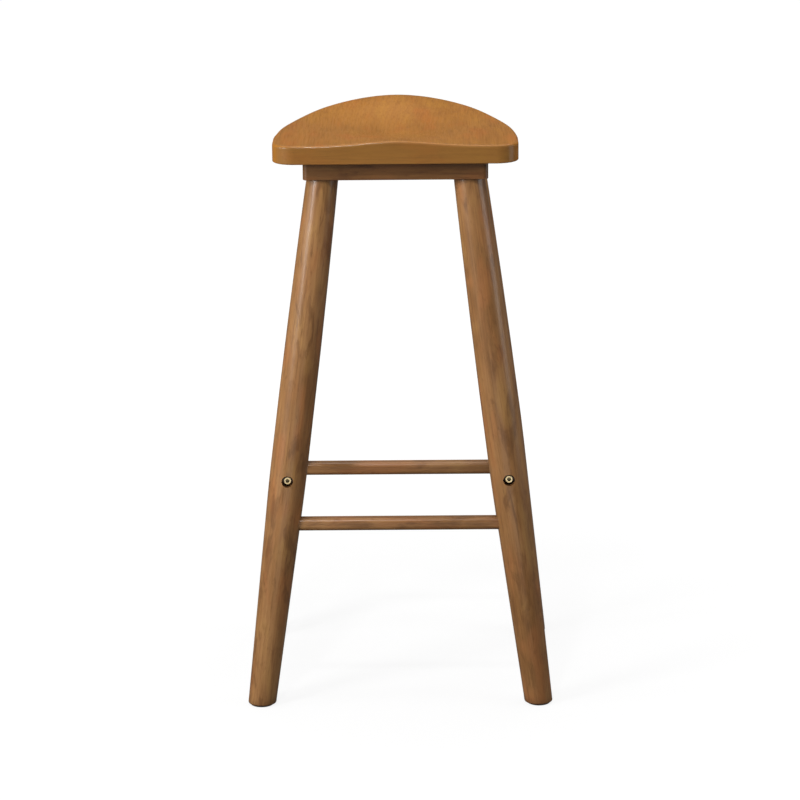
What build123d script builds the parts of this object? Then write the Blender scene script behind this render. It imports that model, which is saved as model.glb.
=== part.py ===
from build123d import *
import math
import os

# Bar stool with a footrest: two glued wooden frames, front and back, joined by two bolted side
# rungs and by a carved seat screwed on from below.
# Frame: +Z up, -Y towards the front, +X to the right as seen from the front, origin on the floor
# in the middle of the footprint. Millimetres.

# ---------------------------------------------------------------- driving dimensions
# Seat
seat_underside = 729.0
seat_half_width = 158.0
seat_front = -145.0
seat_back = 149.0
widest_y = -95.0            # the sides run straight forward of here and curve in behind
front_corner_radius = 28.0
side_fullness = 4.0         # exponents of the superellipse behind widest_y
back_fullness = 1.57
edge_height = 753.0         # top surface at the front of the sides
rear_droop = 4.0            # how far the seat falls towards the back
droop_start = -60.0
droop_end = 90.0
pommel_rise = 6.0           # raised middle of the front edge
pommel_spread = 62.0
pommel_end = -40.0
cantle_rise = 16.5          # raised middle of the back edge
cantle_spread = 90.0
cantle_start = 10.0
bowl_depth = 7.0            # hollow in the middle of the seat
bowl_spread = 78.0
bowl_y = 5.0
seat_edge_radius = 3.0
seat_lower_radius = 1.5

# Legs
leg_top_z = 706.0           # underside of the rails
top_x = 94.5
front_top_y = -107.5
back_top_y = 96.0
foot_x = 184.0
foot_y = 144.0
leg_top_radius = 19.95
leg_belly_radius = 24.3
leg_foot_radius = 18.4
leg_belly_at = 332.0        # along the leg, from the floor
belly_arc_radius = 3000.0   # lower side of the belly, before the straight taper
foot_edge_radius = 2.0
tenon_radius = 12.0
tenon_length = 17.0
tenon_root = 15.0           # overlap of the turned tenon with the leg
glue_gap = 0.05

# Rails under the seat
rail_half_length = 119.0
back_rail_half_length = 115.0
rail_half_depth = 24.0
front_rail_corner = 6.5
back_rail_corner = 20.0
rail_edge = 0.6

# Rungs
rung_width = 20.0
front_rung_height = 16.6
back_rung_height = 17.7
side_rung_height = 16.6
rung_edge_radius = 6.0
cross_rung_z = 246.5        # the front rung is the footrest, the back rung is level with it
side_rung_z = 309.5
cross_rung_housing = 20.0   # how far the ends go into the legs
side_rung_housing = 8.0

# Joining bolts, M6 socket head
bolt_radius = 3.0
bolt_hole_radius = 3.3
bolt_head_radius = 5.0
bolt_head_height = 6.0
bolt_head_edge = 0.6
bolt_length = 50.0
hex_across_flats = 5.0
hex_depth = 3.2
counterbore_radius = 7.6
counterbore_depth = 12.0
insert_radius = 4.6
insert_bore_radius = 3.05
insert_length = 25.0
insert_hole_extra = 2.0     # hole left below the end of an insert

# Seat bolts, M6 pan head, up through the rails
seat_bolt_x = 48.0
seat_bolt_head_radius = 6.0
seat_bolt_head_height = 3.6
seat_bolt_head_edge = 1.5
seat_bolt_hex_flats = 4.0
seat_bolt_hex_depth = 2.0
seat_bolt_length = 24.0
washer_radius = 8.0
washer_thickness = 1.6
rail_counterbore_radius = 8.6
rail_counterbore_depth = 8.0
seat_insert_radius = 4.8
seat_insert_length = 13.0

# Foot glides
glide_radius = 15.0
glide_thickness = 2.0
glide_edge = 0.6
glide_pin_radius = 2.0
glide_pin_length = 13.0
glide_hole_extra = 1.0

os.makedirs("parts", exist_ok=True)


def save(piece, label):
    piece.part.label = label
    export_step(piece.part, f"parts/{label}.step")


# ---------------------------------------------------------------- seat
def smooth_step(value, start, end):
    t = min(1.0, max(0.0, (value - start) / (end - start)))
    return t * t * (3 - 2 * t)


def bell(offset, spread):
    return math.exp(-((offset / spread) ** 2))


def seat_top(x, y):
    """Height of the carved seat surface."""
    droop = rear_droop * smooth_step(y, droop_start, droop_end)
    pommel = pommel_rise * bell(x, pommel_spread) * (1 - smooth_step(y, seat_front, pommel_end))
    cantle = cantle_rise * bell(x, cantle_spread) * smooth_step(y, cantle_start, seat_back)
    bowl = bowl_depth * bell(x, bowl_spread) * bell(y - bowl_y, bowl_spread)
    return edge_height - droop + pommel + cantle - bowl


def side_curve_point(angle):
    """Point on the superellipse that forms the sides and the back."""
    across = math.copysign(abs(math.cos(angle)) ** (2 / side_fullness), math.cos(angle))
    along = math.sin(angle) ** (2 / back_fullness)
    return (seat_half_width * across, widest_y + (seat_back - widest_y) * along)


blank_reach = 175.0         # the blank is wider and deeper than the finished seat
blank_bottom = seat_underside - 20
blank_height = 80.0
station_step = 53.0         # cross-sections of the carved surface, front to back
station_count = 7
crest_steps = 8             # points along each cross-section
curve_points = 17

with BuildPart() as seat:
    for station in range(station_count):
        y = (station - station_count // 2) * station_step
        with BuildSketch(Plane.XZ.offset(-y)):
            with BuildLine():
                across = [blank_reach * (2 * i / crest_steps - 1) for i in range(crest_steps + 1)]
                crest = Spline(*[(x, seat_top(x, y)) for x in across])
                Polyline(crest @ 1, (blank_reach, blank_bottom), (-blank_reach, blank_bottom), crest @ 0)
            make_face()
    loft()
    with BuildSketch(Plane.XY.offset(seat_underside)):
        with BuildLine():
            angles = [math.pi * i / (curve_points - 1) for i in range(curve_points)]
            outline = [side_curve_point(a) for a in angles[1:-1]]
            ends = [(seat_half_width, widest_y), (-seat_half_width, widest_y)]
            Spline(ends[0], *outline, ends[1], tangents=[(0, 1), (0, -1)])
            corner_y = seat_front + front_corner_radius
            Line(ends[1], (-seat_half_width, corner_y))
            left = JernArc((-seat_half_width, corner_y), (0, -1), front_corner_radius, 90)
            right = JernArc((seat_half_width, corner_y), (0, -1), front_corner_radius, -90)
            Line(left @ 1, right @ 1)
            Line(right @ 0, ends[0])
        make_face()
    extrude(amount=blank_height, mode=Mode.INTERSECT)
    flat_face = seat.faces().filter_by(Plane.XY).sort_by(Axis.Z)[0]
    carved_face = seat.faces().filter_by(lambda face: face.normal_at().Z > 0.9)[0]
    fillet(flat_face.edges(), seat_lower_radius)
    fillet(carved_face.edges(), seat_edge_radius)
    with BuildSketch(Plane.XY.offset(seat_underside)):
        for bolt_y in (front_top_y, back_top_y):
            with Locations((-seat_bolt_x, bolt_y), (seat_bolt_x, bolt_y)):
                Circle(seat_insert_radius)
    extrude(amount=seat_insert_length + insert_hole_extra, mode=Mode.SUBTRACT)
save(seat, "seat")


# ---------------------------------------------------------------- leg geometry
class LegLine:
    """Centre line of one leg, from the floor up to the underside of the rail."""

    def __init__(self, side, end):
        self.side = side
        self.end = end
        self.foot = Vector(side * foot_x, end * foot_y, 0)
        top_y = front_top_y if end < 0 else back_top_y
        self.top = Vector(side * top_x, top_y, leg_top_z)
        self.direction = (self.top - self.foot).normalized()
        self.length = (self.top - self.foot).length

    def at_height(self, z):
        return self.foot + (self.top - self.foot) * (z / leg_top_z)

    def profile_plane(self):
        """Plane with its x along the leg and its y outwards from the centre line."""
        across = self.direction.cross(Vector(0, 1, 0)).normalized()
        return Plane(origin=self.foot, x_dir=self.direction, z_dir=across)

    def square_plane(self, along):
        return Plane(origin=self.foot + self.direction * along, z_dir=self.direction)


corners = {
    "front_left": LegLine(-1, -1),
    "front_right": LegLine(1, -1),
    "back_left": LegLine(-1, 1),
    "back_right": LegLine(1, 1),
}


def side_plane(line, y):
    """Upright plane across the side rung, facing outwards along the stool's depth."""
    x = line.at_height(side_rung_z).X
    return Plane(origin=(x, y, side_rung_z), x_dir=(-line.end, 0, 0), z_dir=(0, line.end, 0))


def side_rung_end(line):
    """Y of the end of the side rung inside the leg."""
    centre = line.at_height(side_rung_z).Y
    return centre - line.end * (leg_belly_radius - side_rung_housing)


def bolt_seat(line):
    """Y of the bottom of the counterbore."""
    centre = line.at_height(side_rung_z).Y
    return centre + line.end * (leg_belly_radius - counterbore_depth)


def cross_plane(line):
    """Upright plane at the end of the front or back rung inside the leg, facing inwards."""
    centre = line.at_height(cross_rung_z)
    x = centre.X - line.side * (leg_belly_radius - cross_rung_housing)
    return Plane(origin=(x, centre.Y, cross_rung_z), x_dir=(0, 1, 0), z_dir=(-line.side, 0, 0))


# ---------------------------------------------------------------- legs
overrun = 8.0               # beyond both ends of the leg before they are cut level
taper_start = 60.0          # below the belly
clear_of_leg = leg_belly_radius * 2

for place, line in corners.items():
    with BuildPart() as leg:
        with BuildSketch(line.profile_plane()):
            with BuildLine():
                belly = (leg_belly_at, leg_belly_radius)
                upper = TangentArc(belly, (line.length, leg_top_radius), tangent=(1, 0))
                lower_radius = leg_belly_radius - taper_start**2 / (2 * belly_arc_radius)
                lower = TangentArc(belly, (leg_belly_at - taper_start, lower_radius), tangent=(-1, 0))
                taper = Line(lower @ 1, (0, leg_foot_radius))
                Polyline(taper @ 1, (-overrun, leg_foot_radius), (-overrun, 0), (line.length + overrun, 0),
                         (line.length + overrun, leg_top_radius), upper @ 1)
            make_face()
        revolve(axis=Axis(line.foot, line.direction))
        split(bisect_by=Plane.XY.offset(leg_top_z), keep=Keep.BOTTOM)
        split(bisect_by=Plane.XY.offset(glide_thickness), keep=Keep.TOP)
        fillet(leg.edges().group_by(Axis.Z)[0], foot_edge_radius)
        with BuildSketch(line.square_plane(line.length - tenon_root)):
            Circle(tenon_radius)
        extrude(amount=tenon_root + tenon_length)
        # housing for the front or back rung
        cross_rung_height = front_rung_height if line.end < 0 else back_rung_height
        with BuildSketch(cross_plane(line)):
            RectangleRounded(rung_width, cross_rung_height, rung_edge_radius)
        extrude(amount=clear_of_leg, mode=Mode.SUBTRACT)
        # housing for the side rung, with the bolt hole and its counterbore
        with BuildSketch(side_plane(line, side_rung_end(line))):
            RectangleRounded(rung_width, side_rung_height, rung_edge_radius)
        extrude(amount=-clear_of_leg, mode=Mode.SUBTRACT)
        with BuildSketch(side_plane(line, side_rung_end(line))):
            Circle(bolt_hole_radius)
        extrude(amount=clear_of_leg, mode=Mode.SUBTRACT)
        with BuildSketch(side_plane(line, bolt_seat(line))):
            Circle(counterbore_radius)
        extrude(amount=clear_of_leg, mode=Mode.SUBTRACT)
        # hole for the glide's pin
        with BuildSketch(Plane.XY.offset(glide_thickness)):
            with Locations((line.foot.X, line.foot.Y)):
                Circle(glide_pin_radius)
        extrude(amount=glide_pin_length + glide_hole_extra, mode=Mode.SUBTRACT)
    save(leg, f"leg_{place}")


# ---------------------------------------------------------------- rails
for place, end, half_length, corner in (
    ("front", -1, rail_half_length, front_rail_corner),
    ("back", 1, back_rail_half_length, back_rail_corner),
):
    rail_y = front_top_y if end < 0 else back_top_y
    with BuildPart() as rail:
        with BuildSketch(Plane.XY.offset(leg_top_z)) as footprint:
            with Locations((0, rail_y)):
                Rectangle(half_length * 2, rail_half_depth * 2)
            outer = footprint.vertices().group_by(Axis.Y)[0 if end < 0 else -1]
            inner = footprint.vertices().group_by(Axis.Y)[-1 if end < 0 else 0]
            fillet(outer, corner)
            fillet(inner, front_rail_corner)
        extrude(amount=seat_underside - leg_top_z)
        chamfer(rail.edges().group_by(Axis.Z)[0] + rail.edges().group_by(Axis.Z)[-1], rail_edge)
        for side in (-1, 1):
            line = corners[f"{place}_{'left' if side < 0 else 'right'}"]
            with BuildSketch(line.square_plane(line.length - tenon_root)):
                Circle(tenon_radius + glue_gap)
            extrude(amount=tenon_root + tenon_length + glue_gap, mode=Mode.SUBTRACT)
        with BuildSketch(Plane.XY.offset(leg_top_z)):
            with Locations((-seat_bolt_x, rail_y), (seat_bolt_x, rail_y)):
                Circle(rail_counterbore_radius)
        extrude(amount=rail_counterbore_depth, mode=Mode.SUBTRACT)
        with BuildSketch(Plane.XY.offset(leg_top_z)):
            with Locations((-seat_bolt_x, rail_y), (seat_bolt_x, rail_y)):
                Circle(bolt_hole_radius)
        extrude(amount=seat_underside - leg_top_z, mode=Mode.SUBTRACT)
    save(rail, f"{place}_rail")


# ---------------------------------------------------------------- rungs
for place, rung_height in (("front", front_rung_height), ("back", back_rung_height)):
    left_end = cross_plane(corners[f"{place}_left"])
    right_end = cross_plane(corners[f"{place}_right"])
    with BuildPart() as rung:
        with BuildSketch(left_end):
            RectangleRounded(rung_width, rung_height, rung_edge_radius)
        extrude(amount=right_end.origin.X - left_end.origin.X)
    save(rung, f"{place}_rung")

for side_name in ("left", "right"):
    front = corners[f"front_{side_name}"]
    back = corners[f"back_{side_name}"]
    with BuildPart() as rung:
        with BuildSketch(side_plane(back, side_rung_end(front))):
            RectangleRounded(rung_width, side_rung_height, rung_edge_radius)
        extrude(amount=side_rung_end(back) - side_rung_end(front))
        for line in (front, back):
            with BuildSketch(side_plane(line, side_rung_end(line))):
                Circle(insert_radius)
            extrude(amount=-(insert_length + insert_hole_extra), mode=Mode.SUBTRACT)
    save(rung, f"{side_name}_rung")


# ---------------------------------------------------------------- rung bolts and their inserts
for place, line in corners.items():
    with BuildPart() as bolt:
        with BuildSketch(side_plane(line, bolt_seat(line))):
            Circle(bolt_head_radius)
        extrude(amount=bolt_head_height)
        rim = bolt.edges().sort_by(Axis((0, 0, 0), (0, line.end, 0)))[-1]
        fillet(rim, bolt_head_edge)
        with BuildSketch(side_plane(line, bolt_seat(line))):
            Circle(bolt_radius)
        extrude(amount=-bolt_length)
        with BuildSketch(side_plane(line, bolt_seat(line) + line.end * bolt_head_height)):
            RegularPolygon(hex_across_flats / 2, 6, major_radius=False)
        extrude(amount=-hex_depth, mode=Mode.SUBTRACT)
    save(bolt, f"rung_bolt_{place}")

    with BuildPart() as insert:
        with BuildSketch(side_plane(line, side_rung_end(line))):
            Circle(insert_radius)
            Circle(insert_bore_radius, mode=Mode.SUBTRACT)
        extrude(amount=-insert_length)
    save(insert, f"rung_insert_{place}")


# ---------------------------------------------------------------- seat bolts, washers and inserts
for place, line in corners.items():
    centre = (line.side * seat_bolt_x, line.top.Y)
    washer_z = leg_top_z + rail_counterbore_depth - washer_thickness
    with BuildPart() as washer:
        with BuildSketch(Plane.XY.offset(washer_z)):
            with Locations(centre):
                Circle(washer_radius)
                Circle(bolt_hole_radius, mode=Mode.SUBTRACT)
        extrude(amount=washer_thickness)
    save(washer, f"seat_washer_{place}")

    with BuildPart() as bolt:
        with BuildSketch(Plane.XY.offset(washer_z)):
            with Locations(centre):
                Circle(seat_bolt_head_radius)
        extrude(amount=-seat_bolt_head_height)
        fillet(bolt.edges().sort_by(Axis.Z)[0], seat_bolt_head_edge)
        with BuildSketch(Plane.XY.offset(washer_z)):
            with Locations(centre):
                Circle(bolt_radius)
        extrude(amount=seat_bolt_length)
        with BuildSketch(Plane.XY.offset(washer_z - seat_bolt_head_height)):
            with Locations(centre):
                RegularPolygon(seat_bolt_hex_flats / 2, 6, major_radius=False)
        extrude(amount=seat_bolt_hex_depth, mode=Mode.SUBTRACT)
    save(bolt, f"seat_bolt_{place}")

    with BuildPart() as insert:
        with BuildSketch(Plane.XY.offset(seat_underside)):
            with Locations(centre):
                Circle(seat_insert_radius)
                Circle(insert_bore_radius, mode=Mode.SUBTRACT)
        extrude(amount=seat_insert_length)
    save(insert, f"seat_insert_{place}")


# ---------------------------------------------------------------- foot glides
for place, line in corners.items():
    foot_centre = (line.foot.X, line.foot.Y)
    with BuildPart() as glide:
        with BuildSketch():
            with Locations(foot_centre):
                Circle(glide_radius)
        extrude(amount=glide_thickness)
        fillet(glide.edges().sort_by(Axis.Z)[0], glide_edge)
        with BuildSketch(Plane.XY.offset(glide_thickness)):
            with Locations(foot_centre):
                Circle(glide_pin_radius)
        extrude(amount=glide_pin_length)
    save(glide, f"foot_glide_{place}")
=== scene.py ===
import math

import bpy
from mathutils import Matrix, Vector


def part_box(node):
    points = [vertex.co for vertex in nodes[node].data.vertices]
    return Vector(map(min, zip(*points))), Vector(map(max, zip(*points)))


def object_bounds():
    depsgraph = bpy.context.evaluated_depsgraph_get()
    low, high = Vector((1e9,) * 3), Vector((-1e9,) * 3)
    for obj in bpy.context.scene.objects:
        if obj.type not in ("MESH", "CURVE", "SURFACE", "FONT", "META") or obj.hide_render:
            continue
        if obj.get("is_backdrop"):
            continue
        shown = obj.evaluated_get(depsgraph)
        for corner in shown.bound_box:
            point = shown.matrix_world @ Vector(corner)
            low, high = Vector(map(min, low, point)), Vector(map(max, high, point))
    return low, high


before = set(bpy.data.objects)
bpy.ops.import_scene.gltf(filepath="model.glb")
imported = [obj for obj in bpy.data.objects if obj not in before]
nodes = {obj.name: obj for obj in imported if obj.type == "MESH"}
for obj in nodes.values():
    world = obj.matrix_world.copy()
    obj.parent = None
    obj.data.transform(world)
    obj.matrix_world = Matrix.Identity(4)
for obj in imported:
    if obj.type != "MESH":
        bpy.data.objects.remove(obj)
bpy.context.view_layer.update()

scene = bpy.context.scene
CORNERS = ("front_left", "front_right", "back_left", "back_right")
TENON_RADIUS = 0.012          # metres, at the top of each leg
RING_WIDTH = 0.0062           # metres between growth rings
PITH = (0.31, 0.24)           # metres from the origin of the grain to the heart of the tree
# painted shade and sheen: tint that makes faces looking forwards or backwards greyer
FRONT_SHADE_SHEEN_TINT = (0.78, 0.86, 1.0)
SEAT_TONES = {"light": (0.372, 0.152, 0.022), "dark": (0.300, 0.118, 0.015),
              "deep": (0.160, 0.056, 0.008)}
# painted shade: a darker copy of the frame wood for the rails, standing for the seat's shadow over
# them
RAIL_SHADED_TONES = {"light": (0.190, 0.086, 0.026), "dark": (0.130, 0.055, 0.016),
              "deep": (0.062, 0.023, 0.007)}
FRAME_TONES = {"light": (0.370, 0.185, 0.068), "dark": (0.248, 0.114, 0.036),
               "deep": (0.110, 0.043, 0.014)}


# ------------------------------------------------------------------ places read from the frame
def middle(node):
    low, high = (Vector(corner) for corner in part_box(node))
    return (low + high) / 2


def leg_line(corner):
    """Foot point and unit direction of a leg's centre line."""
    foot = middle(f"foot_glide_{corner}")
    foot.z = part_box(f"foot_glide_{corner}")[0][2]
    low, high = (Vector(point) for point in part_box(f"leg_{corner}"))
    inner_x = low.x if foot.x > 0 else high.x
    inner_y = low.y if foot.y > 0 else high.y
    top = Vector((inner_x + math.copysign(TENON_RADIUS, foot.x),
                  inner_y + math.copysign(TENON_RADIUS, foot.y), high.z))
    return foot, (top - foot).normalized()


# ------------------------------------------------------------------ shader node helpers
class Nodes:
    """Short way to add shader nodes and link them."""

    def __init__(self, tree):
        self.tree = tree

    def add(self, kind, inputs=None, **settings):
        node = self.tree.nodes.new(kind)
        for key, value in settings.items():
            setattr(node, key, value)
        for key, value in (inputs or {}).items():
            socket = node.inputs[key]
            if isinstance(value, bpy.types.NodeSocket):
                self.tree.links.new(value, socket)
            else:
                socket.default_value = value
        return node

    def math(self, operation, a, b=0.0):
        return self.add("ShaderNodeMath", {0: a, 1: b}, operation=operation).outputs[0]

    def scaled(self, vector, factors):
        node = self.add("ShaderNodeVectorMath", {0: vector, 1: factors}, operation="MULTIPLY")
        return node.outputs[0]

    def noise(self, vector, scale, detail=3.0, roughness=0.55, distortion=0.0):
        node = self.add("ShaderNodeTexNoise", {"Vector": vector, "Scale": scale, "Detail": detail,
                                               "Roughness": roughness, "Distortion": distortion})
        return node.outputs["Fac"]

    def span(self, value, low, high, to_low=0.0, to_high=1.0):
        node = self.add("ShaderNodeMapRange", {"Value": value, "From Min": low, "From Max": high,
                                               "To Min": to_low, "To Max": to_high},
                        interpolation_type="SMOOTHSTEP")
        return node.outputs[0]

    def mix(self, factor, a, b, blend="MIX"):
        node = self.add("ShaderNodeMix", data_type="RGBA", blend_type=blend)
        for socket, value in ((node.inputs[0], factor), (node.inputs[6], a), (node.inputs[7], b)):
            if isinstance(value, bpy.types.NodeSocket):
                self.tree.links.new(value, socket)
            elif isinstance(value, tuple):
                socket.default_value = (*value, 1.0)
            else:
                socket.default_value = value
        return node.outputs[2]

    def tint(self, colour, mask, strength, target):
        """Move a colour towards a target where the mask is on, by at most the strength."""
        return self.mix(self.math("MULTIPLY", mask, strength), colour, target)

    def worn_edge(self, radius, worn_at):
        """On where a face bends away from its rounded-off neighbourhood."""
        normal = self.add("ShaderNodeNewGeometry").outputs["Normal"]
        bevel = self.add("ShaderNodeBevel", {"Radius": radius}, samples=4).outputs[0]
        facing = self.add("ShaderNodeVectorMath", {0: bevel, 1: normal}, operation="DOT_PRODUCT")
        return self.span(facing.outputs["Value"], 0.995, worn_at)


def times(colour, factor):
    return tuple(min(1.0, channel * factor) for channel in colour)


def new_material(name):
    material = bpy.data.materials.new(name)
    material.use_nodes = True
    tree = material.node_tree
    tree.nodes.clear()
    maker = Nodes(tree)
    shader = maker.add("ShaderNodeBsdfPrincipled")
    output = maker.add("ShaderNodeOutputMaterial")
    tree.links.new(shader.outputs[0], output.inputs[0])
    return material, maker, shader


def grain_space(maker, along, origin, seed):
    """Coordinates of the wood block a piece is cut from: z runs along the grain."""
    turn = Vector(along).to_track_quat("Z", "Y").inverted()
    shift = -(turn @ Vector(origin)) + Vector((0, 0, seed))
    coordinates = maker.add("ShaderNodeTexCoord")
    mapping = maker.add("ShaderNodeMapping", {"Vector": coordinates.outputs["Object"],
                                              "Location": shift, "Rotation": turn.to_euler()})
    return mapping.outputs[0]


def knotted(maker, block, colour, share, deep):
    """Dark flaws, and small knots with a halo in the given share of the cells of a pattern."""
    flaw = maker.noise(maker.scaled(block, (1.0, 1.0, 0.10)), 70.0, 3.0, 0.55, 1.2)
    colour = maker.tint(colour, maker.span(flaw, 0.66, 0.76), 0.55, times(deep, 0.8))
    stretched = maker.scaled(block, (1.0, 1.0, 0.35))
    cells = maker.add("ShaderNodeTexVoronoi", {"Vector": stretched, "Scale": 34.0})
    pick = maker.add("ShaderNodeSeparateColor", {0: cells.outputs["Color"]}).outputs[0]
    rare = maker.math("GREATER_THAN", pick, 1.0 - share)
    spot = maker.math("MULTIPLY", maker.span(cells.outputs["Distance"], 0.10, 0.03), rare)
    halo = maker.math("MULTIPLY", maker.span(cells.outputs["Distance"], 0.34, 0.08), rare)
    colour = maker.tint(colour, halo, 0.35, deep)
    return maker.tint(colour, spot, 0.75, (deep[0] * 0.6, deep[1] * 0.3, deep[2] * 0.4))


def wood(name, along, origin, seed, light, dark, deep, knots=0.0, front_along=None, gloss=0.2,
         coat=0.50, coat_roughness=0.27, wear=0.3, mottling=0.50):
    """Satin-lacquered wood, cut from one block whose grain runs along a direction.

    front_along is the direction of the grain on faces that look forwards or backwards, where it
    differs; those faces also get painted shade and sheen, a darker and greyer colour.
    """
    material, maker, shader = new_material(name)
    block = grain_space(maker, along, origin, seed)
    if front_along is not None:
        normal = maker.add("ShaderNodeTexCoord").outputs["Normal"]
        normal_y = maker.add("ShaderNodeSeparateXYZ", {0: normal}).outputs[1]
        forwards = maker.math("ABSOLUTE", normal_y)
        front_block = grain_space(maker, front_along, origin, seed + 5.0)
        front_mask = maker.span(forwards, 0.45, 0.75)
        block = maker.add("ShaderNodeMix", {0: front_mask, 4: block, 5: front_block},
                          data_type="VECTOR").outputs[1]

    # growth rings round a pith well outside the piece, wavy along the grain
    drift = maker.noise(maker.scaled(block, (1.0, 1.0, 0.16)), 16.0, 3.0)
    parts = maker.add("ShaderNodeSeparateXYZ", {0: block})
    squares = [maker.math("POWER", maker.math("ADD", parts.outputs[axis], PITH[axis]), 2.0)
               for axis in (0, 1)]
    square = maker.math("ADD", *squares)
    distance = maker.math("ADD", maker.math("SQRT", square), maker.math("MULTIPLY", drift, 0.03))
    ring = maker.math("FRACT", maker.math("MULTIPLY", distance, 1 / RING_WIDTH))
    late_wood = maker.math("MULTIPLY", maker.span(ring, 0.25, 0.92), maker.span(ring, 1.0, 0.93))

    # broad tone, redder and yellower patches, millimetre streaks, fine fibres, short open pores
    tone = maker.noise(maker.scaled(block, (1.0, 1.0, 0.22)), 22.0, 4.0, 0.6)
    mottle = maker.noise(maker.scaled(block, (1.0, 1.0, 0.30)), 62.0, 4.0, 0.62, 0.6)
    warmth = maker.noise(maker.scaled(block, (1.0, 1.0, 0.35)), 34.0, 2.0)
    streak = maker.noise(maker.scaled(block, (1.0, 1.0, 0.035)), 520.0, 3.0, 0.6)
    fibre = maker.noise(maker.scaled(block, (1.0, 1.0, 0.02)), 1900.0, 2.0, 0.7)
    pores = maker.noise(maker.scaled(block, (1.0, 1.0, 0.07)), 1500.0, 1.0, 0.4)
    pore = maker.span(pores, 0.66, 0.74)

    ruddy = (light[0] * 1.00, light[1] * 0.80, light[2] * 0.72)
    straw = (light[0] * 1.04, light[1] * 1.10, light[2] * 0.95)
    colour = maker.mix(maker.span(tone, 0.32, 0.68), light, dark)
    colour = maker.tint(colour, maker.span(warmth, 0.50, 0.68), 0.65, ruddy)
    colour = maker.tint(colour, maker.span(warmth, 0.46, 0.30), 0.60, straw)
    colour = maker.tint(colour, maker.span(mottle, 0.50, 0.68), mottling, deep)
    colour = maker.tint(colour, late_wood, 0.14, deep)
    colour = maker.tint(colour, maker.span(streak, 0.50, 0.72), 0.34, deep)
    colour = maker.tint(colour, maker.span(streak, 0.46, 0.28), 0.30, light)
    colour = maker.tint(colour, maker.span(fibre, 0.45, 0.75), 0.16, deep)
    colour = maker.tint(colour, pore, 0.35, times(deep, 0.35))
    if knots > 0:
        colour = knotted(maker, block, colour, knots, deep)
    # painted shade and sheen: faces looking forwards or backwards are made darker and greyer
    if front_along is not None:
        front_shade_sheen_colour = maker.mix(1.0, colour, FRONT_SHADE_SHEEN_TINT, "MULTIPLY")
        front_shade_sheen_colour = maker.mix(0.40, front_shade_sheen_colour, FRAME_TONES["dark"])
        colour = maker.mix(front_mask, colour, front_shade_sheen_colour)

    # lacquer rubbed thin on the edges, and painted shade darkening the joints, creases and faces under
    # overhangs
    patchy = maker.span(tone, 0.35, 0.65, 0.2 * wear, wear)
    worn = maker.math("MULTIPLY", maker.worn_edge(0.0016, 0.90), patchy)
    colour = maker.mix(worn, colour, times(light, 1.3))
    painted_shade = maker.add("ShaderNodeAmbientOcclusion", {"Distance": 0.022}, samples=8).outputs["AO"]
    colour = maker.mix(maker.span(painted_shade, 0.95, 0.40, 0.0, 0.62), colour, times(deep, 0.5))

    roughness = maker.span(streak, 0.25, 0.75, 0.40, 0.52)
    height = maker.math("ADD", maker.math("MULTIPLY", streak, 0.5), maker.math("MULTIPLY", fibre, 0.3))
    height = maker.math("SUBTRACT", height, maker.math("MULTIPLY", pore, 0.6))
    bump = maker.add("ShaderNodeBump", {"Strength": 0.20, "Distance": 0.0003, "Height": height})

    links = maker.tree.links
    links.new(colour, shader.inputs["Base Color"])
    links.new(roughness, shader.inputs["Roughness"])
    links.new(bump.outputs[0], shader.inputs["Normal"])
    shader.inputs["Specular IOR Level"].default_value = gloss
    shader.inputs["Coat Weight"].default_value = coat
    shader.inputs["Coat Roughness"].default_value = coat_roughness
    return material


def turned_metal(name, bright, dull, base_roughness):
    """Machined metal with fine scratches, tarnish in patches, brighter edges and painted shade in its
    recesses.
    """
    material, maker, shader = new_material(name)
    coordinates = maker.add("ShaderNodeTexCoord").outputs["Object"]
    patches = maker.noise(coordinates, 240.0, 4.0)
    scratches = maker.noise(maker.scaled(coordinates, (1.0, 0.08, 1.0)), 3000.0, 2.0, 0.7)
    colour = maker.mix(maker.span(patches, 0.35, 0.7), bright, dull)
    colour = maker.tint(colour, maker.worn_edge(0.0005, 0.85), 0.5, times(bright, 1.15))
    # painted shade: the hex sockets and other recesses are darkened to near black
    painted_shade = maker.add("ShaderNodeAmbientOcclusion", {"Distance": 0.006}, samples=16).outputs["AO"]
    colour = maker.mix(maker.span(painted_shade, 0.66, 0.46, 0.0, 0.94), colour, times(dull, 0.08))
    links = maker.tree.links
    links.new(colour, shader.inputs["Base Color"])
    links.new(maker.span(scratches, 0.3, 0.7, base_roughness - 0.07, base_roughness + 0.1),
              shader.inputs["Roughness"])
    bump = maker.add("ShaderNodeBump", {"Strength": 0.15, "Distance": 0.0001, "Height": scratches})
    links.new(bump.outputs[0], shader.inputs["Normal"])
    shader.inputs["Metallic"].default_value = 1.0
    return material


def moulded_plastic(name, light, dark):
    """Dark nylon with a fine moulded grain and paler scuffs underneath."""
    material, maker, shader = new_material(name)
    coordinates = maker.add("ShaderNodeTexCoord").outputs["Object"]
    grain = maker.noise(coordinates, 2600.0, 2.0)
    patches = maker.noise(coordinates, 130.0, 4.0)
    colour = maker.mix(maker.span(patches, 0.4, 0.7), dark, light)
    links = maker.tree.links
    links.new(colour, shader.inputs["Base Color"])
    links.new(maker.span(patches, 0.3, 0.7, 0.5, 0.68), shader.inputs["Roughness"])
    bump = maker.add("ShaderNodeBump", {"Strength": 0.3, "Distance": 0.0001, "Height": grain})
    links.new(bump.outputs[0], shader.inputs["Normal"])
    return material


def dress(node, material):
    slots = nodes[node].data.materials
    slots.clear()
    slots.append(material)


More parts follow.
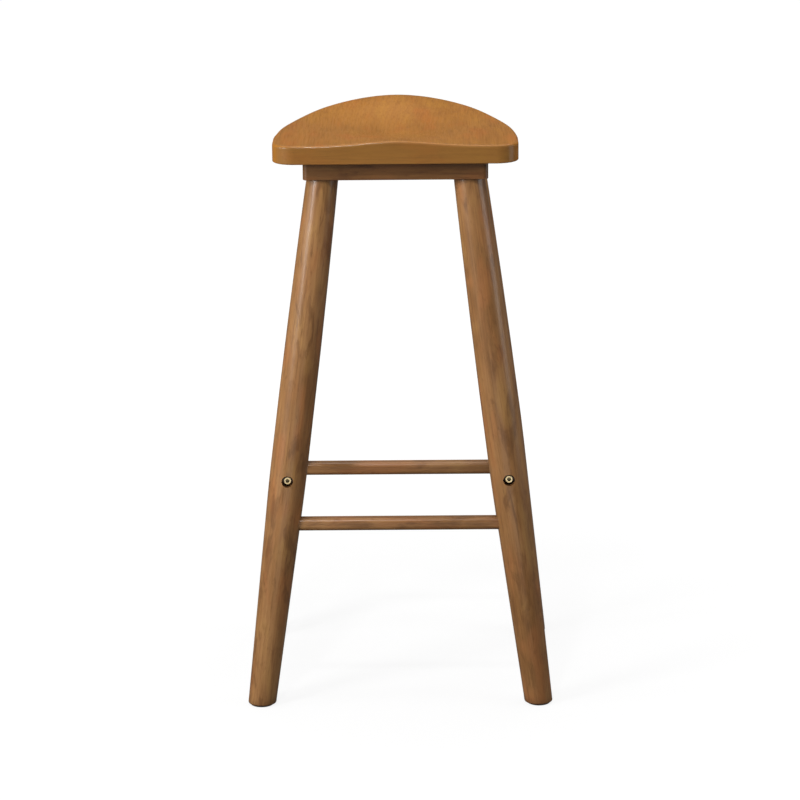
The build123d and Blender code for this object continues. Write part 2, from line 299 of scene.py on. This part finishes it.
# ------------------------------------------------------------------ materials on the pieces
dress("seat", wood("seat_walnut", (0, 1, 0), middle("seat"), 0.3, front_along=(1, 0, 0), gloss=0.12,
                   coat=0.22, coat_roughness=0.13, wear=0.06, mottling=0.20, **SEAT_TONES))
for seed, corner in enumerate(CORNERS):
    foot, direction = leg_line(corner)
    leg_wood = wood(f"leg_walnut_{corner}", direction, foot, 1.7 * seed, knots=0.22, **FRAME_TONES)
    dress(f"leg_{corner}", leg_wood)
# the rails take the darker tones, as painted shade under the seat
for seed, (node, along, tones) in enumerate((
        ("front_rail", (1, 0, 0), RAIL_SHADED_TONES), ("back_rail", (1, 0, 0), RAIL_SHADED_TONES),
        ("front_rung", (1, 0, 0), FRAME_TONES), ("back_rung", (1, 0, 0), FRAME_TONES),
        ("left_rung", (0, 1, 0), FRAME_TONES), ("right_rung", (0, 1, 0), FRAME_TONES))):
    dress(node, wood(f"{node}_walnut", along, middle(node), 0.9 * seed + 0.4, **tones))

brass = turned_metal("satin_brass", (0.98, 0.80, 0.48), (0.86, 0.65, 0.32), 0.30)
steel = turned_metal("zinc_plated_steel", (0.62, 0.62, 0.60), (0.45, 0.45, 0.44), 0.34)
nylon = moulded_plastic("dark_nylon", (0.075, 0.062, 0.05), (0.03, 0.025, 0.02))
for corner in CORNERS:
    for part in ("rung_bolt", "rung_insert", "seat_insert"):
        dress(f"{part}_{corner}", brass)
    for part in ("seat_bolt", "seat_washer"):
        dress(f"{part}_{corner}", steel)
    dress(f"foot_glide_{corner}", nylon)

for node in nodes.values():
    node.data.shade_smooth()


# ------------------------------------------------------------------ floor
def pale_floor():
    """Flat floor round the stool that sweeps up into a pale backdrop far away on every side."""
    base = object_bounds()[0][2]
    flat_radius, sweep_radius, wall_height, segments, sweep_steps = 22.0, 8.0, 30.0, 64, 10
    rings = [(0.6, 0.0), (flat_radius, 0.0)]
    for step in range(1, sweep_steps + 1):
        angle = math.pi / 2 * step / sweep_steps
        lift = sweep_radius * (1 - math.cos(angle))
        rings.append((flat_radius + sweep_radius * math.sin(angle), lift))
    rings.append((flat_radius + sweep_radius, wall_height))
    points = [(0.0, 0.0, base)]
    for radius, lift in rings:
        for i in range(segments):
            turn = 2 * math.pi * i / segments
            points.append((radius * math.cos(turn), radius * math.sin(turn), base + lift))
    faces = [(0, 1 + i, 1 + (i + 1) % segments) for i in range(segments)]
    for ring in range(len(rings) - 1):
        inner, outer = 1 + ring * segments, 1 + (ring + 1) * segments
        for i in range(segments):
            j = (i + 1) % segments
            faces.append((inner + i, outer + i, outer + j, inner + j))
    mesh = bpy.data.meshes.new("floor")
    mesh.from_pydata(points, [], faces)
    mesh.shade_smooth()
    floor = bpy.data.objects.new("floor", mesh)
    scene.collection.objects.link(floor)
    material, maker, shader = new_material("pale_floor")
    coordinates = maker.add("ShaderNodeTexCoord").outputs["Object"]
    away = maker.add("ShaderNodeVectorMath", {0: coordinates}, operation="LENGTH").outputs["Value"]
    maker.tree.links.new(maker.span(away, 0.2, 1.6, 0.875, 0.995), shader.inputs["Emission Strength"])
    shader.inputs["Base Color"].default_value = (0.11, 0.11, 0.11, 1.0)
    shader.inputs["Roughness"].default_value = 0.9
    shader.inputs["Specular IOR Level"].default_value = 0.0
    shader.inputs["Emission Color"].default_value = (1.0, 1.0, 1.0, 1.0)
    floor.data.materials.append(material)
    floor.visible_diffuse = False
    floor.visible_glossy = False
    floor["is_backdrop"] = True


pale_floor()


# ------------------------------------------------------------------ light
def studio_light():
    """Soft panels from above and the left, weaker ones for the right side and the low front."""
    world = bpy.data.worlds.new("studio")
    world.use_nodes = True
    background = world.node_tree.nodes["Background"]
    background.inputs["Color"].default_value = (1.0, 1.0, 1.0, 1.0)
    background.inputs["Strength"].default_value = 0.11
    scene.world = world

    def lamp(name, place, target, power, width, height):
        """Rectangular lamp, in metres and watts."""
        data = bpy.data.lights.new(name, "AREA")
        data.energy = power
        data.shape = "RECTANGLE"
        data.size = width
        data.size_y = height
        lamp_object = bpy.data.objects.new(name, data)
        lamp_object.location = place
        aim = Vector(target) - Vector(place)
        lamp_object.rotation_euler = aim.to_track_quat("-Z", "Y").to_euler()
        scene.collection.objects.link(lamp_object)

    lamp("overhead", (0.1, 0.5, 2.4), (0, 0, 0.7), 34.0, 2.0, 2.0)
    lamp("left_panel", (-1.75, -1.45, 1.25), (0, 0, 0.7), 47.0, 0.65, 1.3)
    lamp("low_left", (-1.9, -0.5, 1.05), (0, 0, 0.7), 9.0, 0.4, 0.3)
    lamp("right_fill", (1.85, -0.35, 1.0), (0, 0, 0.5), 12.0, 1.0, 1.4)
    lamp("bounce", (0, -1.35, 0.06), (0, 0, 0.45), 1.3, 0.9, 0.3)
    lamp("front_top", (-0.20, -1.1, 2.0), (0, 0, 0.5), 11.0, 0.10, 0.12)


studio_light()


# ------------------------------------------------------------------ camera
def photo_camera():
    """Long lens at standing height, a few metres in front, a hair off square and off level."""
    distance, height, aim_height, aside = 4.499, 1.6100, 0.37795, 0.0020
    turn, roll = math.radians(0.5007), math.radians(0.544)
    pitch = math.atan2(height - aim_height, distance)
    right = Vector((math.cos(turn), math.sin(turn), 0))
    level = Vector((-math.sin(turn), math.cos(turn), 0))
    forward = level * math.cos(pitch) - Vector((0, 0, math.sin(pitch)))
    up = right.cross(forward)
    rolled_right = right * math.cos(roll) - up * math.sin(roll)
    rolled_up = right * math.sin(roll) + up * math.cos(roll)
    place = right * aside - level * distance + Vector((0, 0, height))
    data = bpy.data.cameras.new("camera")
    data.lens = 156.43
    data.sensor_width = 36.0
    data.clip_end = 100.0
    camera = bpy.data.objects.new("camera", data)
    axes = Matrix((rolled_right, rolled_up, -forward)).transposed()
    camera.matrix_world = Matrix.Translation(place) @ axes.to_4x4()
    scene.collection.objects.link(camera)
    scene.camera = camera


photo_camera()
scene.view_settings.view_transform = "Standard"
scene.view_settings.look = "None"
